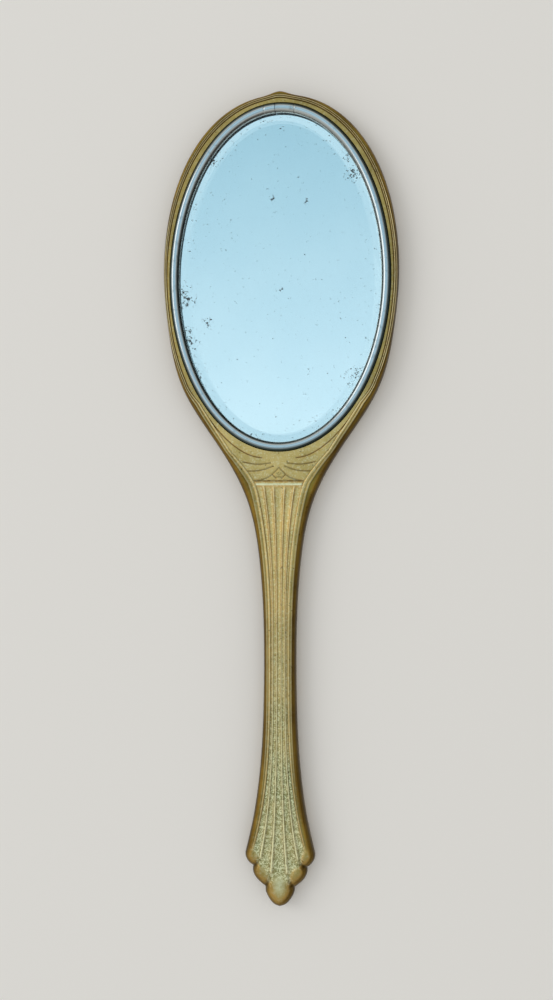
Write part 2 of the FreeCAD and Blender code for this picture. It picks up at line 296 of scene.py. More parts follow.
def front_layout():
    """Rows of the front: outer point, direction out, stretch along it, inner point, reed insets."""
    (head, head_n), (neck, neck_n), (handle, handle_n), (fan, fan_n) = body_rows()

    head_q = oval_point(np.arctan2(head[:, 1] / WELL_B, head[:, 0] / WELL_A))
    head_q[0] = (0.0, WELL_B)
    head_out = unit(head - head_q)
    head_cos = np.sum(head_out * head_n, axis=1)
    ring_gap = np.hypot(*(head - head_q).T) * head_cos

    share = np.linspace(0, 1, len(neck), endpoint=False)
    turn_end = 0.82             # from here on the rows end on the centre line
    first = math.atan2(neck[0, 1] / WELL_B, neck[0, 0] / WELL_A)
    turn = np.clip(share / turn_end, 0, 1)
    neck_q = oval_point(first + (-math.pi / 2 - first) * turn)
    on_line = share >= turn_end
    neck_q[on_line, 0] = 0.0
    drop = (share[on_line] - turn_end) / (1 - turn_end)
    neck_q[on_line, 1] = -WELL_B + (BAR_END_Y + WELL_B) * drop
    neck_out = unit(head_out[-1] * (1 - share)[:, None] + np.array([1.0, 0.0]) * share[:, None])
    neck_cos = np.sum(neck_out * neck_n, axis=1)

    below = np.vstack([handle, fan])
    below_out = np.tile([1.0, 0.0], (len(below), 1))
    handle_y, handle_cos = handle[:, 1], handle_n[:, 0]
    fan_cos = smoothed(np.clip(fan_n[:, 0], 0.3, 1.0), 21)

    heights = [-NECK_START_Y, 60.0, 74.0, 79.0, 84.0, -BAR_END_Y]
    field_edge = (handle[:, 0] - field_half(handle_y)) * handle_cos
    reeds = []
    # inner and outer reed: gap from the ring's seat, insets down the neck, gaps outside the field
    for gap, insets, outside in ((0.75, (3.5, 3.1, 4.3, 5.4), 0), (1.85, (2.1, 1.9, 2.7, 3.4), 1)):
        on_handle = field_edge - outside * reed_gap(handle_y) * handle_cos
        on_neck = np.interp(-neck[:, 1], heights, [ring_gap[-1] - gap, *insets, on_handle[0]])
        reeds.append(np.r_[ring_gap - gap, on_neck, on_handle, np.full(len(fan), on_handle[-1])])
    inner, outer = reeds
    outer = np.minimum(outer, inner - 2 * REED_HALF * 0.72)
    parts = {"head": head, "neck": neck, "handle": handle, "fan": fan}
    return {
        "outer_point": np.vstack(list(parts.values())),
        "out": np.vstack([head_out, neck_out, below_out]),
        "stretch": 1 / np.r_[head_cos, neck_cos, handle_cos, fan_cos],
        "inner_point": np.vstack([head_q, neck_q, below * (0.0, 1.0)]),
        "reed_inner": smoothed(inner, 9),
        "reed_outer": smoothed(outer, 9),
        "zone": np.repeat(list(parts), [len(part) for part in parts.values()]),
        "neck_share": share,
    }


def smoothed(values, width):
    """A running mean that keeps both ends."""
    kernel = np.ones(width) / width
    padded = np.r_[np.full(width // 2, values[0]), values, np.full(width // 2, values[-1])]
    return np.convolve(padded, kernel, "valid")


def plate_shares(zone, neck_share, reach, y):
    """Places of the columns from the inner reed to the inner point, closest together at the ridges."""
    even = np.linspace(0, 1, 50)
    if zone == "head" or (zone == "neck" and neck_share < 0.85):
        return even
    half = float(field_half(min(y, BAR_END_Y)))
    outer = 1 - min(RIDGE_SHARES[1] * half / reach, 0.84)
    inner = 1 - min(RIDGE_SHARES[0] * half / reach, 0.5)
    w = min(0.5 / reach, 0.12)
    marks = (0, outer - w, outer + w, inner - w, inner + w, 1)
    steps = (9, 9, 13, 9, 9)
    parts = [np.linspace(a, b, n, endpoint=False) for a, b, n in zip(marks[:-1], marks[1:], steps)]
    ridged = np.r_[np.concatenate(parts), 1.0]
    mix = ease(neck_share, 0.85, 1.0) if zone == "neck" else 1.0
    return even * (1 - mix) + ridged * mix


# ---- what is pressed into the face ----
SWAGS = (
    ((3.5, 78.3), (9.4, 78.8), (15.4, 77.8)),
    ((2.4, 79.6), (7.4, 81.3), (13.5, 81.7)),
    ((7.3, 76.1), (10.4, 75.6), (16.9, 72.6), (25.2, 65.4), (33.0, 55.5)),
)
TENT = ((0.0, 80.2), (2.2, 82.5), (5.2, 84.6), (9.5, 85.7))
DIAMOND = ((2.8, 83.2), (1.3, 84.7))
ARCH = ((1.3, 84.7), (0.6, 84.2), (0.0, 84.1))
CHEVRON = ((0.9, 82.6), (0.0, 83.5))
BAR_LINE = ((0.0, -BAR_TOP_Y), (BAR_HALF, -BAR_TOP_Y))


def distance_to(x, y, line):
    """Distance from every place to a line through points that are given as x and depth."""
    points = np.array(line) * (1, -1)
    return line_distance(np.dstack([x, y]), spline_through(points, 30) if len(points) > 2 else points)


def neck_relief(x, y, width, depth):
    """Scored lines and the cross bar of the neck: height change, darkness, and the bar's lower lip
    brightened with rubbed wear and a painted highlight.
    """
    height, dark = np.zeros_like(x), np.zeros_like(x)
    lines = [(line, 1.0) for line in SWAGS] + [(TENT, 0.9), (DIAMOND, 0.9), (ARCH, 0.8), (CHEVRON, 0.5)]
    for line, strength in lines + [(BAR_LINE, 1.3)]:
        d = distance_to(x, y, line)
        height -= depth * strength * bump(d, width)
        dark = np.maximum(dark, 0.75 * min(strength, 1.0) * bump(d, width * 1.1))
    bar = ease(y, BAR_END_Y - 0.1, BAR_END_Y + 0.35) * (1 - ease(y, BAR_TOP_Y - 0.7, BAR_TOP_Y - 0.2))
    across = 1 - ease(x, BAR_HALF - 0.6, BAR_HALF)
    # the lower lip of the bar: raised a little, and brightened with rubbed wear and a painted highlight
    lip = bump(y - BAR_END_Y - 0.55, 0.6) * across
    return height + (bar * across + 0.2 * lip) * RIB_HEIGHT * 0.8, dark, lip


def field_relief(x, y, hollow_depth):
    """Hollow panels and ridges of the handle: height change, darkness, and ridge crests brightened with
    rubbed wear and a painted highlight.
    """
    half = field_half(y)
    inside = ease(BAR_END_Y - y, 0.0, 1.2)
    edges = (-RIDGE_SHARES[0],) + RIDGE_SHARES + (1.0,)
    height, dark, shine = np.zeros_like(x), np.zeros_like(x), np.zeros_like(x)
    u = x / half
    for low, high in zip(edges[:-1], edges[1:]):
        middle, reach = (low + high) / 2, (high - low) / 2
        width = 2 * reach * half
        depth = np.minimum(hollow_depth, 0.16 * width)
        within = (u >= low) & (u < high)
        height -= np.where(within, depth * np.clip(1 - ((u - middle) / reach) ** 2, 0, 1), 0)
    for share, past in zip(RIDGE_SHARES, RIDGE_ENDS):
        ridge_half = 0.22 + 0.032 * half
        keep = 1 - ease(FAN_Y - y, past - 1.5, past)
        away = np.abs(x - share * half)
        crest = bump(away, ridge_half) * keep
        height += (RIB_HEIGHT - 0.06) * crest
        # brightened crests: rubbed wear and a painted highlight, stronger towards the fan
        shine = np.maximum(shine, crest * (0.35 + 0.65 * ease(-y, 110.0, 190.0)))
        foot = bump(away - ridge_half * 1.25, ridge_half * 0.7) * keep
        dark = np.maximum(dark, 0.34 * foot)
    return height * inside, dark * inside, shine * inside


def lobe_relief(x, y):
    """Swelling of the five lobes, each place's share in them, and the creases between them."""
    lift, share = np.zeros_like(x), np.zeros_like(x)
    for cx, down, half_width, half_length, height in LOBES:
        e = np.hypot((x - cx) / half_width, (y - FAN_Y + down) / half_length)
        lift += height * np.exp(-1.6 * e ** 2)
        share = np.maximum(share, 1 - ease(e, 0.7, 1.2))
    crease = np.zeros_like(x)
    for line in CREASES:
        d = distance_to(x, y, [(px, down - FAN_Y) for px, down in line])
        fade = 0.25 + 0.75 * ease(FAN_Y - y, line[2][1], line[0][1])
        lift -= 0.75 * bump(d, 1.5) * fade
        crease = np.maximum(crease, bump(d, 0.95) * fade)
    return lift, share, crease


# ---- meshes ----
def laid_grid(places, layers):
    """A grid whose vertices are moved to places[row, column], with point layers of the same layout."""
    rows, columns = places.shape[:2]
    bm = bmesh.new()
    bmesh.ops.create_grid(bm, x_segments=columns - 1, y_segments=rows - 1, size=1.0)
    slots = {key: bm.verts.layers.float.new(key) for key in layers}
    for vert in bm.verts:
        i = round((vert.co.y + 1) / 2 * (rows - 1))
        j = round((vert.co.x + 1) / 2 * (columns - 1))
        vert.co = places[i, j]
        for key, slot in slots.items():
            vert[slot] = layers[key][i, j]
    return bm


def mirrored_shell(places, layers):
    """A closed shell from the layout of its right half."""
    bm = laid_grid(places, layers)
    middle = [f for f in bm.faces if all(abs(v.co.x) < 1e-6 for v in f.verts)]
    bmesh.ops.delete(bm, geom=middle, context="FACES")
    bmesh.ops.remove_doubles(bm, verts=bm.verts, dist=1e-4)
    bmesh.ops.dissolve_degenerate(bm, edges=bm.edges, dist=1e-5)
    everything = bm.verts[:] + bm.edges[:] + bm.faces[:]
    bmesh.ops.mirror(bm, geom=everything, matrix=Matrix.Identity(4), merge_dist=1e-4, axis="X")
    return bm


def pressed_shell(xy, z, inner, outer, seam, layers):
    """A shell from the layout of its right half, closed by a flat side in the plane of the seam."""
    flat = np.stack([inner, outer], axis=1)
    places = np.concatenate([np.dstack([xy, z]), np.dstack([flat, np.full(flat.shape[:2], seam)])], axis=1)
    # a layer ends as it begins, because the last column meets the first
    closed = {key: np.hstack([layer, 0 * layer[:, :1], layer[:, :1]]) for key, layer in layers.items()}
    return mirrored_shell(places, closed)


def brass_front(sizes):
    """The pressed front: rolled edge, two reeds, neck plate, fluted field and five lobes."""
    rows = front_layout()
    zone, p, q = rows["zone"], rows["outer_point"], rows["inner_point"]
    d1, d2 = rows["reed_inner"][:, None], rows["reed_outer"][:, None]
    seam, full_rise = SEAM_HIGH.z, FACE_Z - SEAM_HIGH.z
    reed_half = np.minimum(REED_HALF, (d1 - d2) * 0.42)
    rolled = (d2 - reed_half) * (1 - np.cos(np.linspace(0, math.pi / 2, ROLL_COLUMNS)))
    steps = np.linspace(-1, 1, REED_COLUMNS)
    insets = np.hstack([rolled, d2 + reed_half * steps[1:], (d1 + d2) / 2, d1 + reed_half * steps])
    in_steps = insets * rows["stretch"][:, None]
    room = np.hypot(*(p - q).T)
    in_steps *= np.minimum(1, 0.6 * room / in_steps[:, -1])[:, None]
    outer_xy = p[:, None] - rows["out"][:, None] * in_steps[:, :, None]
    reach = np.maximum(room - in_steps[:, -1], 1e-3)

    neck_share = np.zeros(len(p))
    neck_share[zone == "neck"] = rows["neck_share"]
    shares = np.array([plate_shares(*row) for row in zip(zone, neck_share, reach, p[:, 1])])[:, 1:, None]
    plate_xy = outer_xy[:, -1:] * (1 - shares) + q[:, None] * shares
    plate_inset = insets[:, -1:] + np.hypot(*np.moveaxis(plate_xy - outer_xy[:, -1:], 2, 0))
    xy = np.concatenate([outer_xy, plate_xy], axis=1)
    x, y = xy[:, :, 0], xy[:, :, 1]
    past, row_past, row_depth = FAN_Y - y, FAN_Y - p[:, 1:], -p[:, 1:]
    inset = follow_fan(np.hstack([insets, plate_inset]), xy, p)
    rise = full_rise * roll(inset, sizes.roll_width / MM * (1 + 0.65 * ease(past, -9, 3)))

    # the two reeds and the valleys beside them, calmer below the head
    inner_on = 1 - ease(row_past, -REED_STOP - 2, -REED_STOP + 5)
    outer_on = 1 - ease(row_past, -50, -15)
    calm = 1 - 0.5 * ease(row_depth, 40.0, 75.0)
    relief, dark, shine = np.zeros_like(x), np.zeros_like(x), np.zeros_like(x)
    for centre, shown in ((d1, inner_on), (d2, outer_on)):
        crest = calm * bump(inset - centre, reed_half) * shown
        relief += sizes.reed_height / MM * crest
        # brightened reed crests: rubbed wear and a painted highlight
        shine = np.maximum(shine, 0.45 * crest)
    for valley, shown in (((d1 + d2) / 2, inner_on), (d1 + reed_half + 0.15, inner_on),
                          (d2 - reed_half - 0.1, outer_on)):
        dip = calm * bump(inset - valley, 0.38) * shown
        relief -= 0.16 * dip
        dark = np.maximum(dark, dip)

    # what is pressed into the neck plate and into the field
    on_plate = np.arange(x.shape[1]) >= insets.shape[1]
    near_neck = on_plate & ((zone == "neck") | ((zone == "head") & (p[:, 1] < 0)))[:, None]
    in_field = on_plate & np.isin(zone, ("handle", "fan"))[:, None]
    scored = neck_relief(x, y, sizes.score_width / MM, sizes.score_depth / MM)
    fluted = field_relief(x, y, sizes.panel_hollow / MM)
    for region, (lift, darker, brighter) in ((near_neck, scored), (in_field, fluted)):
        relief += np.where(region, lift, 0)
        dark = np.maximum(dark, np.where(region, darker, 0))
        shine = np.maximum(shine, np.where(region, brighter, 0))

    lift, lobe_share, crease = lobe_relief(x, y)
    relief = relief * (1 - lobe_share) + lift
    z = seam + rise + relief * np.clip(rise / full_rise, 0, 1)
    z[:, 0] = seam
    dark = np.maximum(dark * (1 - lobe_share), 0.85 * crease)
    # painted shade: the outermost roll, down to the seam, is darkened as the side turned away from the
    # light, with patina along the seam
    dark = np.maximum(dark, 0.8 * (1 - ease(inset, 0.3, 1.35)))

    # green film in the field, a painted highlight along the tip lobe, and golden-brown on the roll, the
    # neck plate and the lobes: wear, and on the roll's sides and the lobes' slopes also painted shade
    film = np.where(in_field, 0.2 + 0.8 * ease(-y, 120.0, 222.0), 0.1 * on_plate)
    film = film * (1 - 0.95 * lobe_share)
    # painted highlight along the centre of the tip lobe
    tip = ease(past, 7.0, 12.0) * (1 - ease(past, 13.5, 18.5)) * (1 - ease(np.abs(x), 0.3, 3.2))
    shine = np.maximum(shine * (1 - lobe_share), 0.42 * tip)
    plate_gilt = np.where(in_field, 0.0, 0.58 - 0.38 * ease(-y, 40.0, 66.0))
    spread = 0.4 + 1.4 * ease(row_depth, 40.0, 62.0)
    gold_wear_and_shade = np.maximum(1 - ease(inset, d2 - 0.6, d2 + spread), plate_gilt)
    gold_wear_and_shade = gold_wear_and_shade * (1 - 0.45 * lobe_share * ease(inset, 1.0, 4.5))
    # lobes: more golden-brown towards their edges, which is wear and painted shade on the slopes
    gold_wear_and_shade = np.maximum(gold_wear_and_shade, lobe_share * (0.74 - 0.24 * ease(inset, 1.8, 4.8)))
    layers = {"tarnish_and_shade_mask": dark, "film": film, "rub_and_highlight": shine, "gold_wear_and_shade": gold_wear_and_shade}
    return pressed_shell(xy, z, q, p, seam, layers)


def brass_back(sizes):
    """The pressed back: a flat plate with a rolled edge and one border line."""
    p, normals = coarse_rows()
    p[0, 0] = 0.0
    pivot_y = 34.0              # rows of the head above this run to one place
    q = np.column_stack([np.zeros(len(p)), np.clip(p[:, 1], FAN_Y, pivot_y)])
    line = unit(p - q)
    turn = 1 / np.clip(np.sum(line * normals, axis=1), 0.5, 1)
    width, seam = sizes.back_roll / MM, BACK_HIGH.z
    reach = (np.hypot(*(p - q).T) / turn)[:, None]
    border = np.minimum(sizes.back_border / MM, reach * 0.42)
    rolled = width * (1 - np.cos(np.linspace(0, math.pi / 2, 12)))
    rolled = np.minimum(rolled, reach * np.linspace(0, 0.3, 12))
    marks = border + np.linspace(-0.6, 0.6, 7)
    last = marks[:, -1:]
    insets = np.hstack([rolled, marks, last + (reach - last) * np.linspace(0, 1, 14)[1:]])
    xy = p[:, None] - line[:, None] * (insets * turn[:, None])[:, :, None]
    xy[:, -1] = q
    insets = follow_fan(insets, xy, p)
    z = seam - seam * roll(insets, width * (1 + 0.4 * ease(FAN_Y - xy[:, :, 1], -9, 3)))
    groove = bump(insets - border, 0.45) * (1 - ease(FAN_Y - p[:, 1:], -12, -2))
    z = np.clip(z + 0.22 * groove, 0.0, seam)
    z[:, 0] = seam
    # golden-brown on the back's rolled edge: wear, and painted shade of the side
    gold_wear_and_shade = 1 - ease(insets, 1.0, 3.5)
    layers = {"tarnish_and_shade_mask": 0.8 * groove, "gold_wear_and_shade": gold_wear_and_shade, "film": 0 * gold_wear_and_shade, "rub_and_highlight": 0 * gold_wear_and_shade}
    return pressed_shell(xy, z, q, p, seam, layers)


def solder_line():
    """The film of solder in the seam between the shells, all round the outline."""
    p, normals = coarse_rows()
    normals[0] = (0.0, 1.0)
    outer, inner = p - 0.14 * normals, p - 0.7 * normals
    outer[[0, -1], 0] = inner[[0, -1], 0] = 0.0
    low, high = BACK_HIGH.z, SEAM_HIGH.z
    corners = ((outer, low), (outer, high), (inner, high), (inner, low), (outer, low))
    loops = [np.column_stack([xy, np.full(len(p), z)]) for xy, z in corners]
    return mirrored_shell(np.stack(loops, axis=1), {})


def bezel(sizes):
    """Half-round bead with its skirt, open at the butt joint just left of the crest."""
    fit, radius, skirt = 0.1, 2.0, 0.6  # gap to the well, the bead's radius, the skirt's inner face
    crest, base = RING_HIGH.z, RING_HIGH.z - 2.5
    arc = [(fit + radius - radius * math.cos(a), crest - radius + radius * math.sin(a))
           for a in np.linspace(0, math.pi, 25)]
    under = [(fit + 2 * radius, base), (fit + skirt, base), (fit + skirt, LEDGE_TOP)]
    section = [(fit, LEDGE_TOP)] + arc + under
    joint_x, nick_x = -1.7, 6.4         # the butt joint, and a nick on each side of the crest
    half_x, half_y = WELL_A - fit - radius, WELL_B - fit - radius
    step = math.asin(sizes.joint_gap / MM / 2 / half_x)
    joint = math.pi / 2 - math.asin(joint_x / half_x)
    angles = list(joint + np.linspace(step, 2 * math.pi - step, 420))
    for x in (-nick_x, nick_x):
        centre = math.pi / 2 - math.asin(x / half_x)
        centre += 2 * math.pi if centre < joint else 0
        angles += [centre + d / half_y for d in (-0.28, -0.14, 0.0, 0.14, 0.28)]
    angles = np.array(sorted(angles))
    across, z = np.array(section).T
    x = (WELL_A - across) * np.cos(angles)[:, None]
    y = (WELL_B - across) * np.sin(angles)[:, None]
    nick = bump(np.abs(x) - nick_x, 0.26) * (y > 0)
    on_bead = z > base + 0.2
    places = np.dstack([x, y, z - sizes.nick_depth / MM * nick * on_bead])
    places = np.concatenate([places, places[:, :1]], axis=1)
    out = (fit + radius - across) / radius          # 1 at the outer foot and -1 at the inner foot
    # painted shade and painted dark reflection along both feet of the bead, the inner foot's weaker on the
    # upper half towards the crest, with patina where the cloth never reached
    sideways = 1 - 0.75 * np.clip(np.sin(angles), 0, 1)[:, None] ** 2
    foot = np.maximum(0.95 * ease(out, 0.08, 0.6), 0.9 * ease(-out, 0.25, 0.7) * sideways)
    dark = np.maximum(0.4 * nick, foot * on_bead)
    dark = np.hstack([dark, dark[:, :1]])
    bm = laid_grid(places, {"tarnish_and_shade_mask": dark})
    bmesh.ops.remove_doubles(bm, verts=bm.verts, dist=1e-4)
    bmesh.ops.holes_fill(bm, edges=[e for e in bm.edges if e.is_boundary], sides=0)
    return bm


def place_round(element):
    """Sorting key of a vertex or a face of the glass: its height, then its angle."""
    centre = element.co if isinstance(element, bmesh.types.BMVert) else element.calc_center_median()
    return 1000 * round(centre.z, 2) + math.atan2(centre.y, centre.x)


def bevelled_glass(sizes):
    """Plate glass, its wide bevel ground round the front."""
    bm = bmesh.new()
    air = 0.04                  # keeps the back of the glass clear of the silvering
    half = Vector((GLASS_HIGH.x, GLASS_HIGH.y))
    bevel, rim = sizes.bevel_width / MM, GLASS_HIGH.z - sizes.bevel_drop / MM
    bmesh.ops.create_circle(bm, cap_ends=True, segments=320, radius=1.0)
    bmesh.ops.transform(bm, matrix=Matrix.Diagonal((half.x, half.y, 1, 1)), verts=bm.verts)
    bmesh.ops.translate(bm, vec=(0, 0, GLASS_LOW.z + air), verts=bm.verts)
    back = top = bm.faces[:][0]
    for height, inward in ((rim - GLASS_LOW.z - air, 0.0), (GLASS_HIGH.z - rim, bevel)):
        made = bmesh.ops.extrude_face_region(bm, geom=[top])
        verts = [g for g in made["geom"] if isinstance(g, bmesh.types.BMVert)]
        squeeze = Matrix.Diagonal(((half.x - inward) / half.x, (half.y - inward) / half.y, 1, 1))
        bmesh.ops.transform(bm, matrix=Matrix.Translation((0, 0, height)) @ squeeze, verts=verts)
        if top is not back:
            bmesh.ops.delete(bm, geom=[top], context="FACES_ONLY")
        top = next(g for g in made["geom"] if isinstance(g, bmesh.types.BMFace))
    # the extrusions number their vertices and faces in no fixed order
    for elements in (bm.verts, bm.faces):
        elements.sort(key=place_round)
    return bm


# ---- materials ----
MATH = "ShaderNodeMath"
RANGE = "ShaderNodeMapRange"
NOISE = "ShaderNodeTexNoise"
MIX = "ShaderNodeMix"
BUMP = "ShaderNodeBump"
SMOOTH = {"interpolation_type": "SMOOTHSTEP"}
COLOURS = {"data_type": "RGBA", "out": 2}
TIMES, PLUS, MINUS, TIMES_PLUS, MOST = (
    {"operation": key} for key in ("MULTIPLY", "ADD", "SUBTRACT", "MULTIPLY_ADD", "MAXIMUM"))


def node(tree, kind, inputs=(), out=0, **settings):
    """Adds a node with its settings, fills or links its inputs, and gives one output (None: the node)."""
    made = tree.nodes.new(kind)
    for key, value in settings.items():
        setattr(made, key, value)
    for key, value in inputs.items() if isinstance(inputs, dict) else enumerate(inputs):
        if isinstance(value, bpy.types.NodeSocket):
            tree.links.new(value, made.inputs[key])
        else:
            made.inputs[key].default_value = value
    return made if out is None else made.outputs[out]


def fresh(name):
    """A new material, its emptied node tree and its object coordinates."""
    material = bpy.data.materials.new(name)
    material.use_nodes = True
    tree = material.node_tree
    tree.nodes.clear()
    return material, tree, node(tree, "ShaderNodeTexCoord", out="Object")


def surfaced(tree, **inputs):
    """Adds the shader with its inputs, named with _ for a space, and puts it on the surface."""
    named = {key.replace("_", " "): value for key, value in inputs.items()}
    shader = node(tree, "ShaderNodeBsdfPrincipled", named)
    node(tree, "ShaderNodeOutputMaterial", {"Surface": shader}, out=None)


def patterned(where, size_mm, detail=3.0, rough=0.55):
    """Inputs of a cloudy texture whose features are about this many millimetres."""
    return {"Vector": where, "Scale": 1 / (size_mm * MM), "Detail": detail, "Roughness": rough}


def pressed_brass(colours):
    """Pressed brass, lacquer long gone: dull olive-yellow faces, brown patina in the scored hollows, a
    green-grey film in the panels, and painted shade darkening the outermost roll. Ridges, reeds and the
    bar's lip are brightened with rubbed wear and a painted highlight, the tip lobe carries a painted
    highlight, and the roll and the lobes are golden-brown: wear where hands hold it, and on their sides and
    slopes also painted shade."""
    material, tree, where = fresh("pressed_brass")
    tarnish_and_shade_mask, film, rub_and_highlight, gold_wear_and_shade = (node(tree, "ShaderNodeAttribute", out="Fac", attribute_name=key)
                                for key in ("tarnish_and_shade_mask", "film", "rub_and_highlight", "gold_wear_and_shade"))
    cloudy, mottled, pebbled, grains, speckled = (
        node(tree, NOISE, patterned(where, *look))
        for look in ((14.0, 4.0), (1.0, 4.0, 0.7), (0.5, 2.0, 0.7), (1.3, 3.0, 0.6), (1.6, 2.0, 0.7)))
    duller = node(tree, RANGE, (cloudy, 0.35, 0.68), **SMOOTH)
    flecks = node(tree, RANGE, (mottled, 0.47, 0.68, 0.0, 0.5), **SMOOTH)
    patchy = node(tree, MATH, (film, node(tree, RANGE, (cloudy, 0.25, 0.7, 0.45, 0.8), **SMOOTH)), **TIMES)
    pebbled = node(tree, MATH, (pebbled, 0.6, node(tree, MATH, (grains, 0.4), **TIMES)), **TIMES_PLUS)
    paler = node(tree, RANGE, (pebbled, 0.43, 0.58), **SMOOTH)
    green = node(tree, MIX, {0: paler, 6: colours.film_dark, 7: colours.film_light}, **COLOURS)
    browner = node(tree, RANGE, (cloudy, 0.4, 0.62), **SMOOTH)
    gold = node(tree, MIX, {0: browner, 6: colours.gold_wear_and_shade, 7: colours.browner_wear_and_shade}, **COLOURS)
    # golden-brown share: wear, and painted shade on the roll's sides and the lobes' slopes
    golden = node(tree, MATH, (gold_wear_and_shade, 0.9), **TIMES)
    # brightened share: rubbed wear and painted highlight on the ridges, reeds, bar lip and tip lobe
    rubbed = node(tree, RANGE, (mottled, 0.3, 0.55, 0.6, 1.0), **SMOOTH)
    rubbed = node(tree, MATH, (rub_and_highlight, rubbed), **TIMES)
    specks = node(tree, RANGE, (speckled, 0.66, 0.72, 0.0, 0.6), **SMOOTH)
    # darkens toward the brown: patina in the scored lines and grooves, and painted shade on the outermost
    # roll
    darkened_share = node(tree, MATH, (tarnish_and_shade_mask, 0.92), **TIMES)
    tone = colours.brass
    for share, over in ((duller, colours.brass_dull), (flecks, colours.bright_brass_and_highlight), (patchy, green),
                        (golden, gold), (rubbed, colours.bright_brass_and_highlight), (specks, colours.tarnish_and_shade),
                        (darkened_share, colours.tarnish_and_shade)):
        tone = node(tree, MIX, {0: share, 6: tone, 7: over}, **COLOURS)

    rough = node(tree, RANGE, (mottled, 0.3, 0.7, 0.36, 0.52), **SMOOTH)
    rough = node(tree, MATH, (film, 0.1, rough), **TIMES_PLUS)
    rough = node(tree, MATH, (gold_wear_and_shade, -0.08, rough), **TIMES_PLUS)
    grainy = node(tree, RANGE, (gold_wear_and_shade, 0.6, 1.0, 0.12, 0.0), **SMOOTH)
    grain = node(tree, BUMP, {"Strength": grainy, "Distance": 0.04 * MM, "Height": mottled})
    in_film = node(tree, MATH, (film, 2.0), operation="POWER")
    stipple = {"Strength": node(tree, MATH, (in_film, 0.9), **TIMES), "Distance": 0.22 * MM,
               "Height": pebbled, "Normal": grain}
    surfaced(tree, Base_Color=tone, Metallic=1.0, Roughness=rough, Normal=node(tree, BUMP, stipple))
    return material


def polished_nickel(colours):
    """Drawn brass strip, nickel plated and buffed: bright and cool, with fine rub marks, and darkened
    blue-grey
    along its feet: painted shade and painted dark reflection, with patina where the cloth never reached."""
    material, tree, where = fresh("polished_nickel")
    tarnish_and_shade_mask = node(tree, "ShaderNodeAttribute", out="Fac", attribute_name="tarnish_and_shade_mask")
    wear = node(tree, NOISE, patterned(where, 3.0, 5.0, 0.6))
    rubbed = node(tree, RANGE, (wear, 0.52, 0.75), **SMOOTH)
    tone = node(tree, MIX, {0: rubbed, 6: colours.nickel, 7: colours.nickel_dull}, **COLOURS)
    # darkens the feet: painted shade and painted dark reflection, with patina
    tone = node(tree, MIX, {0: tarnish_and_shade_mask, 6: tone, 7: colours.nickel_tarnish_and_shade}, **COLOURS)
    rough = node(tree, RANGE, (wear, 0.3, 0.75, 0.12, 0.25), **SMOOTH)
    rough = node(tree, MATH, (tarnish_and_shade_mask, 0.12, rough), **TIMES_PLUS)
    fine = node(tree, NOISE, patterned(where, 0.6))
    rub = node(tree, BUMP, {"Strength": 0.08, "Distance": 0.03 * MM, "Height": fine})
    surfaced(tree, Base_Color=tone, Metallic=1.0, Roughness=rough, Normal=rub)
    return material


def plate_glass(colours):
    """Ground and polished soda-lime plate: clear, with a faint green cast and a breath of haze."""
    material, tree, where = fresh("plate_glass")
    haze = node(tree, NOISE, patterned(where, 20.0))
    rough = node(tree, RANGE, (haze, 0.35, 0.75, 0.0, 0.03), **SMOOTH)
    surfaced(tree, Base_Color=colours.glass, Transmission_Weight=1.0, IOR=1.52, Roughness=rough)
    return material


# age spots of the silvering: x, y, radius, strength
SPOTS = (
    (-41.0, -26.0, 11.0, 1.2), (-37.0, -42.0, 10.0, 1.1), (-42.0, -8.0, 10.0, 1.1), (31.0, 43.0, 5.5, 1.35),
    (28.0, 50.0, 4.0, 1.2), (-29.0, 50.0, 4.0, 1.4), (11.0, 32.0, 3.0, 1.0), (32.0, -42.0, 9.0, 0.8),
    (-3.0, 34.0, 2.5, 1.0), (-31.0, -18.0, 4.0, 0.9), (-10.0, -68.0, 6.0, 0.9), (0.0, -5.0, 3.0, 0.7),
)


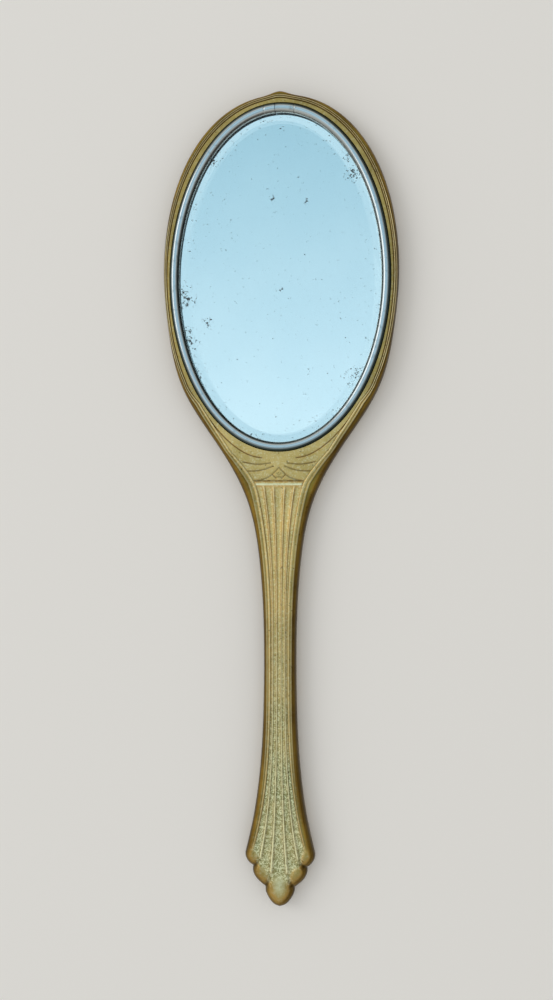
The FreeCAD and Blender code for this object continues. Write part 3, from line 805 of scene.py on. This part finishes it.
def aged_silvering(colours):
    """Chemical silvering behind glass: a near perfect mirror, with dark foxing and a tan margin where
    damp has crept in from the edge."""
    material, tree, where = fresh("aged_silvering")
    place = node(tree, "ShaderNodeSeparateXYZ", (where,), out=None).outputs
    shares = [node(tree, MATH, (place[axis], half * MM), operation="DIVIDE")
              for axis, half in (("X", GLASS_HIGH.x), ("Y", GLASS_HIGH.y))]
    squares = [node(tree, MATH, (share, 2.0), operation="POWER") for share in shares]
    radius = node(tree, MATH, (node(tree, MATH, squares, **PLUS),), operation="SQRT")
    ragged = node(tree, NOISE, patterned(where, 5.0, 5.0, 0.65))
    ragged = node(tree, MATH, (ragged, 0.05, -0.025), **TIMES_PLUS)
    left = node(tree, RANGE, (place["X"], -40.0 * MM, -31.0 * MM, 0.03, 0.0), **SMOOTH)
    edge = node(tree, MATH, (node(tree, MATH, (radius, ragged), **PLUS), left), **PLUS)
    margin = node(tree, RANGE, (edge, 0.966, 0.994, 0.0, 0.7), **SMOOTH)

    zone = node(tree, RANGE, (radius, 0.74, 0.95, 0.0, 0.22), **SMOOTH)
    for x, y, size, strength in SPOTS:
        centre = (x * MM, y * MM, GLASS_LOW.z * MM)
        away = node(tree, "ShaderNodeVectorMath", (where, centre), out="Value", operation="DISTANCE")
        spot = node(tree, RANGE, (away, 0.0, size * MM, strength, 0.0), **SMOOTH)
        zone = node(tree, MATH, (zone, spot), **MOST)
    fine = node(tree, NOISE, patterned(where, 1.3, 4.0, 0.75))
    fine = node(tree, MATH, (zone, 0.15, fine), **TIMES_PLUS)
    dots = node(tree, RANGE, (fine, 0.665, 0.69), **SMOOTH)
    bad = node(tree, MATH, (dots, margin), **MOST)

    bloomed = node(tree, RANGE, (node(tree, NOISE, patterned(where, 40.0, 2.0)), 0.3, 0.7), **SMOOTH)
    bloom = node(tree, MIX, {0: bloomed, 6: colours.silver, 7: colours.silver_cloud}, **COLOURS)
    tan = node(tree, RANGE, (node(tree, MATH, (margin, dots), **MINUS), 0.0, 0.4), **SMOOTH)
    brown = node(tree, MIX, {0: tan, 6: colours.foxing, 7: colours.foxing_light}, **COLOURS)
    tone = node(tree, MIX, {0: bad, 6: bloom, 7: brown}, **COLOURS)
    sound = node(tree, MATH, (1.0, bad), **MINUS)
    rough = node(tree, RANGE, (bad, 0.0, 1.0, 0.015, 0.6), **SMOOTH)
    surfaced(tree, Base_Color=tone, Metallic=sound, Roughness=rough)
    return material


def simple_finish(name, light, dark, size_mm, rough, metallic, bump_mm, stretch=(1, 1, 1)):
    """A two-tone mottled finish for the pieces that the shells hide."""
    material, tree, where = fresh(name)
    spread = node(tree, "ShaderNodeMapping", {"Vector": where, "Scale": stretch})
    grain = node(tree, NOISE, patterned(spread, size_mm, 4.0, 0.6))
    share = node(tree, RANGE, (grain, 0.35, 0.65), **SMOOTH)
    tone = node(tree, MIX, {0: share, 6: linear(light), 7: linear(dark)}, **COLOURS)
    gloss = node(tree, RANGE, (grain, 0.3, 0.7, rough - 0.08, rough + 0.08), **SMOOTH)
    relief = node(tree, BUMP, {"Strength": 0.6, "Distance": bump_mm * MM, "Height": grain})
    surfaced(tree, Base_Color=tone, Metallic=metallic, Roughness=gloss, Normal=relief)
    return material


# hidden pieces: node, material, light and dark tone, grain in mm, roughness, metallic, relief, stretch
HIDDEN = (
    # plated strap: bright and cool, the plate thin at its bends
    ("bezel_splice", "nickelled_strap", "#B9BDBB", "#8E918F", 1.5, 0.3, 1.0, 0.02),
    # unbleached wood pulp: warm brown with short fibres
    ("edge_packing", "kraft_paper", "#A88557", "#8C6B42", 0.5, 0.85, 0.0, 0.05),
    # shellac and iron oxide, brushed on: a dull brick red
    ("backing_paint", "red_oxide_paint", "#6B2A1E", "#54211A", 2.0, 0.6, 0.0, 0.03),
    # rolled waste board: grey-brown, its fibres along the roll
    ("backing_card", "grey_strawboard", "#9A917F", "#7D7566", 0.7, 0.9, 0.0, 0.08, (1, 4, 1)),
    # loose cotton: off-white and soft, with no shine
    ("wadding_pad", "cotton_wadding", "#E2DDCF", "#CFC8B6", 1.2, 0.95, 0.0, 0.4),
    # rolled mild steel: dark grey under a thin mill scale
    ("neck_brace", "mild_steel_plate", "#777675", "#5C5A57", 2.5, 0.45, 1.0, 0.03),
    # turned beech: pale tan with its grain along the handle
    ("handle_core", "turned_beech", "#C29A6C", "#A67C50", 1.6, 0.6, 0.0, 0.05, (1, 0.08, 1)),
    # cold-drawn steel: grey with fine draw marks along the rod
    ("handle_rod", "drawn_steel_rod", "#82817F", "#62605D", 1.0, 0.35, 1.0, 0.02, (1, 0.1, 1)),
)


# ---- settings ----
def length(name, description, millimetres):
    """A size that is given in millimetres and kept in metres."""
    return bpy.props.FloatProperty(name=name, description=description, default=millimetres * MM,
                                   min=0.0, unit="LENGTH", subtype="DISTANCE")


def colour(name, description, hex_colour):
    """A colour that is given as sRGB hex and kept linear."""
    return bpy.props.FloatVectorProperty(name=name, description=description, default=linear(hex_colour),
                                         size=4, min=0.0, max=1.0, subtype="COLOR")


class HandMirrorSizes(bpy.types.PropertyGroup):
    """Sizes of the worked edges, lines and bevel"""
    roll_width: length("Rolled edge", "How far the front's rolled edge reaches in", 3.0)
    reed_height: length("Reed height", "Height of the two fine reeds", 0.2)
    panel_hollow: length("Panel hollow", "Most that a panel of the handle is hollowed", 0.4)
    score_width: length("Scored line", "Half width of the lines in the neck plate", 0.36)
    score_depth: length("Score depth", "Depth of the lines in the neck plate", 0.22)
    back_roll: length("Back roll", "How far the back's rolled edge reaches in", 3.4)
    back_border: length("Back border", "Inset of the line round the back", 6.0)
    joint_gap: length("Ring joint", "Gap at the ring's butt joint", 0.2)
    nick_depth: length("Ring nicks", "Depth of the two nicks beside the joint", 0.15)
    bevel_width: length("Bevel width", "Width of the bevel ground on the glass", 6.6)
    bevel_drop: length("Bevel drop", "How much thinner the glass is at its rim", 1.0)


class HandMirrorColours(bpy.types.PropertyGroup):
    """Colours of the brass, the nickel, the glass and the floor"""
    brass: colour("Brass", "Dull face of the brass", "#E0BC76")
    brass_dull: colour("Dull brass", "Duller clouds on the face", "#CBAA65")
    # this bright colour is also the painted highlight on the ridges, the reeds, the bar's lip and the tip
    # lobe
    bright_brass_and_highlight: colour("Bright brass", "Rubbed ridges and flecks", "#F3EFC6")
    # this brown is also the painted shade on the outermost roll
    tarnish_and_shade: colour("Tarnish", "Brown in the scored lines", "#2C2008")
    film_light: colour("Light film", "Pale green film in the panels", "#EEEEC6")
    film_dark: colour("Dark film", "Green-grey film in the panels", "#747B4E")
    # this golden-brown and the browner tone below also stand as painted shade on the roll's sides and the
    # lobes' slopes
    gold_wear_and_shade: colour("Golden wear", "Where hands have rubbed the roll and the lobes", "#84691E")
    browner_wear_and_shade: colour("Brown wear", "Browner clouds of the same", "#6B5216")
    nickel: colour("Nickel", "Buffed nickel plate", "#C0C8CB")
    nickel_dull: colour("Dull nickel", "Rubbed nickel plate", "#9BA3A4")
    # this dark teal is also the painted shade and dark reflection along the bead's feet
    nickel_tarnish_and_shade: colour("Nickel tarnish", "Dark tarnish at the bead's feet", "#32484E")
    glass: colour("Glass", "Body colour of the plate glass", "#FBFEFD")
    silver: colour("Silver", "Sound silvering", "#F4F8F8")
    silver_cloud: colour("Clouded silver", "Slightly bloomed silvering", "#EFF5F6")
    foxing: colour("Foxing", "Dark age spots", "#2E261C")
    foxing_light: colour("Light foxing", "Browner age spots", "#C4B08A")
    floor: colour("Floor", "Pale studio floor", "#F0EEEA")


def finish_node(node_name, material):
    """Gives a CAD node its material."""
    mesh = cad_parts[node_name].data
    mesh.materials.clear()
    mesh.materials.append(material)


def show(bm, name, material, replaced, sharp_degrees):
    """Makes a bmesh in millimetres a piece that rides on the body and stands in for a CAD node."""
    bmesh.ops.transform(bm, matrix=Matrix.Scale(MM, 4), verts=bm.verts)
    bmesh.ops.recalc_face_normals(bm, faces=bm.faces)
    mesh = bpy.data.meshes.new(name)
    bm.to_mesh(mesh)
    bm.free()
    mesh.shade_smooth()
    mesh.set_sharp_from_angle(angle=math.radians(sharp_degrees))
    mesh.materials.append(material)
    piece = bpy.data.objects.new(name, mesh)
    bpy.context.scene.collection.objects.link(piece)
    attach(piece, BODY)
    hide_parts(replaced)


# ---- operators ----
class HANDMIRROR_OT_brass_shells(bpy.types.Operator):
    """Build the pressed brass front and back and the solder between them"""
    bl_idname = "hand_mirror.brass_shells"
    bl_label = "Brass Shells"

    def execute(self, context):
        sizes, colours = context.scene.hand_mirror_sizes, context.scene.hand_mirror_colours
        brass = pressed_brass(colours)
        show(brass_front(sizes), "brass_front", brass, "front_shell", 60.0)
        show(brass_back(sizes), "brass_back", brass, "back_shell", 60.0)
        solder = simple_finish("soft_solder", "#7A6A45", "#4A3D22", 0.8, 0.5, 1.0, 0.05)
        show(solder_line(), "solder_line", solder, "seam_solder", 40.0)
        return {"FINISHED"}


class HANDMIRROR_OT_bezel_ring(bpy.types.Operator):
    """Build the nickel ring round the glass"""
    bl_idname = "hand_mirror.bezel_ring"
    bl_label = "Bezel Ring"

    def execute(self, context):
        nickel = polished_nickel(context.scene.hand_mirror_colours)
        show(bezel(context.scene.hand_mirror_sizes), "ring_bead", nickel, "bezel_ring", 35.0)
        return {"FINISHED"}


class HANDMIRROR_OT_mirror_plate(bpy.types.Operator):
    """Build the bevelled glass and finish its silvering"""
    bl_idname = "hand_mirror.mirror_plate"
    bl_label = "Mirror Plate"

    def execute(self, context):
        colours = context.scene.hand_mirror_colours
        plate = bevelled_glass(context.scene.hand_mirror_sizes)
        show(plate, "bevelled_plate", plate_glass(colours), "mirror_glass", 4.0)
        finish_node("silvering", aged_silvering(colours))
        return {"FINISHED"}


class HANDMIRROR_OT_hidden_pieces(bpy.types.Operator):
    """Finish the pieces inside the shells"""
    bl_idname = "hand_mirror.hidden_pieces"
    bl_label = "Hidden Pieces"

    def execute(self, context):
        for node_name, *finish in HIDDEN:
            finish_node(node_name, simple_finish(*finish))
        return {"FINISHED"}


class HANDMIRROR_OT_stage(bpy.types.Operator):
    """Set up the floor, the light and the camera"""
    bl_idname = "hand_mirror.stage"
    bl_label = "Stage"

    def execute(self, context):
        stage_floor(context.scene.hand_mirror_colours)
        stage_world(context.scene)
        stage_lamps()
        stage_camera(context.scene)
        context.scene.view_settings.view_transform = "Standard"
        return {"FINISHED"}


class HANDMIRROR_PT_sidebar(bpy.types.Panel):
    """Lists the operators and their settings"""
    bl_idname = "HANDMIRROR_PT_sidebar"
    bl_label = "Hand Mirror"
    bl_space_type = "VIEW_3D"
    bl_region_type = "UI"
    bl_category = "Hand Mirror"

    def draw(self, context):
        for operator in OPERATORS:
            self.layout.operator(operator.bl_idname)
        for group in (context.scene.hand_mirror_sizes, context.scene.hand_mirror_colours):
            for key in group.__annotations__:
                self.layout.prop(group, key)


OPERATORS = (HANDMIRROR_OT_brass_shells, HANDMIRROR_OT_bezel_ring, HANDMIRROR_OT_mirror_plate,
             HANDMIRROR_OT_hidden_pieces, HANDMIRROR_OT_stage)
CLASSES = (HandMirrorSizes, HandMirrorColours) + OPERATORS + (HANDMIRROR_PT_sidebar,)


# ---- stage ----
# the pale blue overhead that polished faces show, from the handle's end to beyond the crest
SKY = ((0.25, "#AAC7D5"), (0.5, "#D7F1FB"), (0.58, "#CEE9F8"), (0.86, "#9CC3D6"), (1.0, "#C4E9F6"))


def stage_floor(colours):
    """A plain pale floor just under the back."""
    bm = bmesh.new()
    bmesh.ops.create_grid(bm, x_segments=8, y_segments=8, size=30.0)
    bmesh.ops.translate(bm, vec=(0, 0, -0.05 * MM), verts=bm.verts)
    mesh = bpy.data.meshes.new("floor")
    bm.to_mesh(mesh)
    bm.free()
    floor = bpy.data.objects.new("floor", mesh)
    bpy.context.scene.collection.objects.link(floor)
    material, tree = fresh("studio_floor")[:2]
    surfaced(tree, Base_Color=colours.floor, Roughness=0.9)
    mesh.materials.append(material)


def stage_world(scene):
    """Plain pale light all round; in polished faces the sky overhead shows as a pale blue."""
    world = bpy.data.worlds.new("studio_sky")
    scene.world = world
    world.use_nodes = True
    tree = world.node_tree
    tree.nodes.clear()
    direction = node(tree, "ShaderNodeTexCoord", out="Generated")
    parts = node(tree, "ShaderNodeSeparateXYZ", (direction,), out=None).outputs
    along = node(tree, MATH, (parts["Y"], 0.5), **PLUS)
    ramp = node(tree, "ShaderNodeValToRGB", (along,), out=None)
    stops = ramp.color_ramp.elements
    while len(stops) < len(SKY):
        stops.new(0.5)
    for stop, (place, hex_colour) in zip(stops, SKY):
        stop.position = place
        stop.color = linear(hex_colour)
    side = node(tree, RANGE, (parts["X"], -0.7, 0.6), **SMOOTH)
    low = node(tree, MIX, {0: side, 6: linear("#D2CDC2"), 7: linear("#5E5448")}, **COLOURS)
    higher = node(tree, RANGE, (parts["Z"], 0.15, 0.8), **SMOOTH)
    low = node(tree, MIX, {0: higher, 6: low, 7: linear("#E2DFD9")}, **COLOURS)
    overhead = node(tree, RANGE, (parts["Z"], 0.72, 0.92), **SMOOTH)
    seen = node(tree, MIX, {0: overhead, 6: low, 7: ramp.outputs["Color"]}, **COLOURS)
    path = node(tree, "ShaderNodeLightPath", out=None).outputs
    polished = node(tree, MATH, (path["Is Glossy Ray"], path["Is Transmission Ray"]), **MOST)
    tone = node(tree, MIX, {0: polished, 6: linear("#E9E9E7"), 7: seen}, **COLOURS)
    strength = node(tree, MATH, (polished, 0.3, 0.85), **TIMES_PLUS)
    background = node(tree, "ShaderNodeBackground", {"Color": tone, "Strength": strength})
    node(tree, "ShaderNodeOutputWorld", {"Surface": background}, out=None)


def stage_lamps():
    """One broad soft lamp on the left."""
    place = Vector((-1.95, 0.65, 1.6))
    lamp = bpy.data.lights.new("soft_left", "AREA")
    lamp.size = 1.5
    lamp.energy = 11.0
    holder = bpy.data.objects.new("soft_left", lamp)
    holder.location = place
    holder.rotation_euler = (Vector((0, -0.09, 0)) - place).to_track_quat("-Z", "Y").to_euler()
    bpy.context.scene.collection.objects.link(holder)


def stage_camera(scene):
    """Looks down on the mirror from over its right side."""
    camera = bpy.data.cameras.new("camera")
    camera.lens = 38.5
    camera.sensor_width = 36.0
    camera.shift_x = -0.02
    holder = bpy.data.objects.new("camera", camera)
    eye, target = Vector((0.0643, -0.0939, 0.454)), Vector((0.0069, -0.0939, 0.004))
    back = (eye - target).normalized()
    right = Vector((0, 1, 0)).cross(back).normalized()
    turn = Matrix((right, back.cross(right), back)).transposed().to_4x4()
    holder.matrix_world = Matrix.Translation(eye) @ turn
    scene.collection.objects.link(holder)
    scene.camera = holder


# ---- add-on ----
def register():
    for cls in CLASSES:
        bpy.utils.register_class(cls)
    bpy.types.Scene.hand_mirror_sizes = bpy.props.PointerProperty(type=HandMirrorSizes)
    bpy.types.Scene.hand_mirror_colours = bpy.props.PointerProperty(type=HandMirrorColours)


def unregister():
    del bpy.types.Scene.hand_mirror_colours
    del bpy.types.Scene.hand_mirror_sizes
    for cls in reversed(CLASSES):
        bpy.utils.unregister_class(cls)


def main():
    """Builds every piece and the stage."""
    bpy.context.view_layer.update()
    register()
    bpy.ops.hand_mirror.brass_shells()
    bpy.ops.hand_mirror.bezel_ring()
    bpy.ops.hand_mirror.mirror_plate()
    bpy.ops.hand_mirror.hidden_pieces()
    bpy.ops.hand_mirror.stage()


if __name__ == "__main__":
    main()
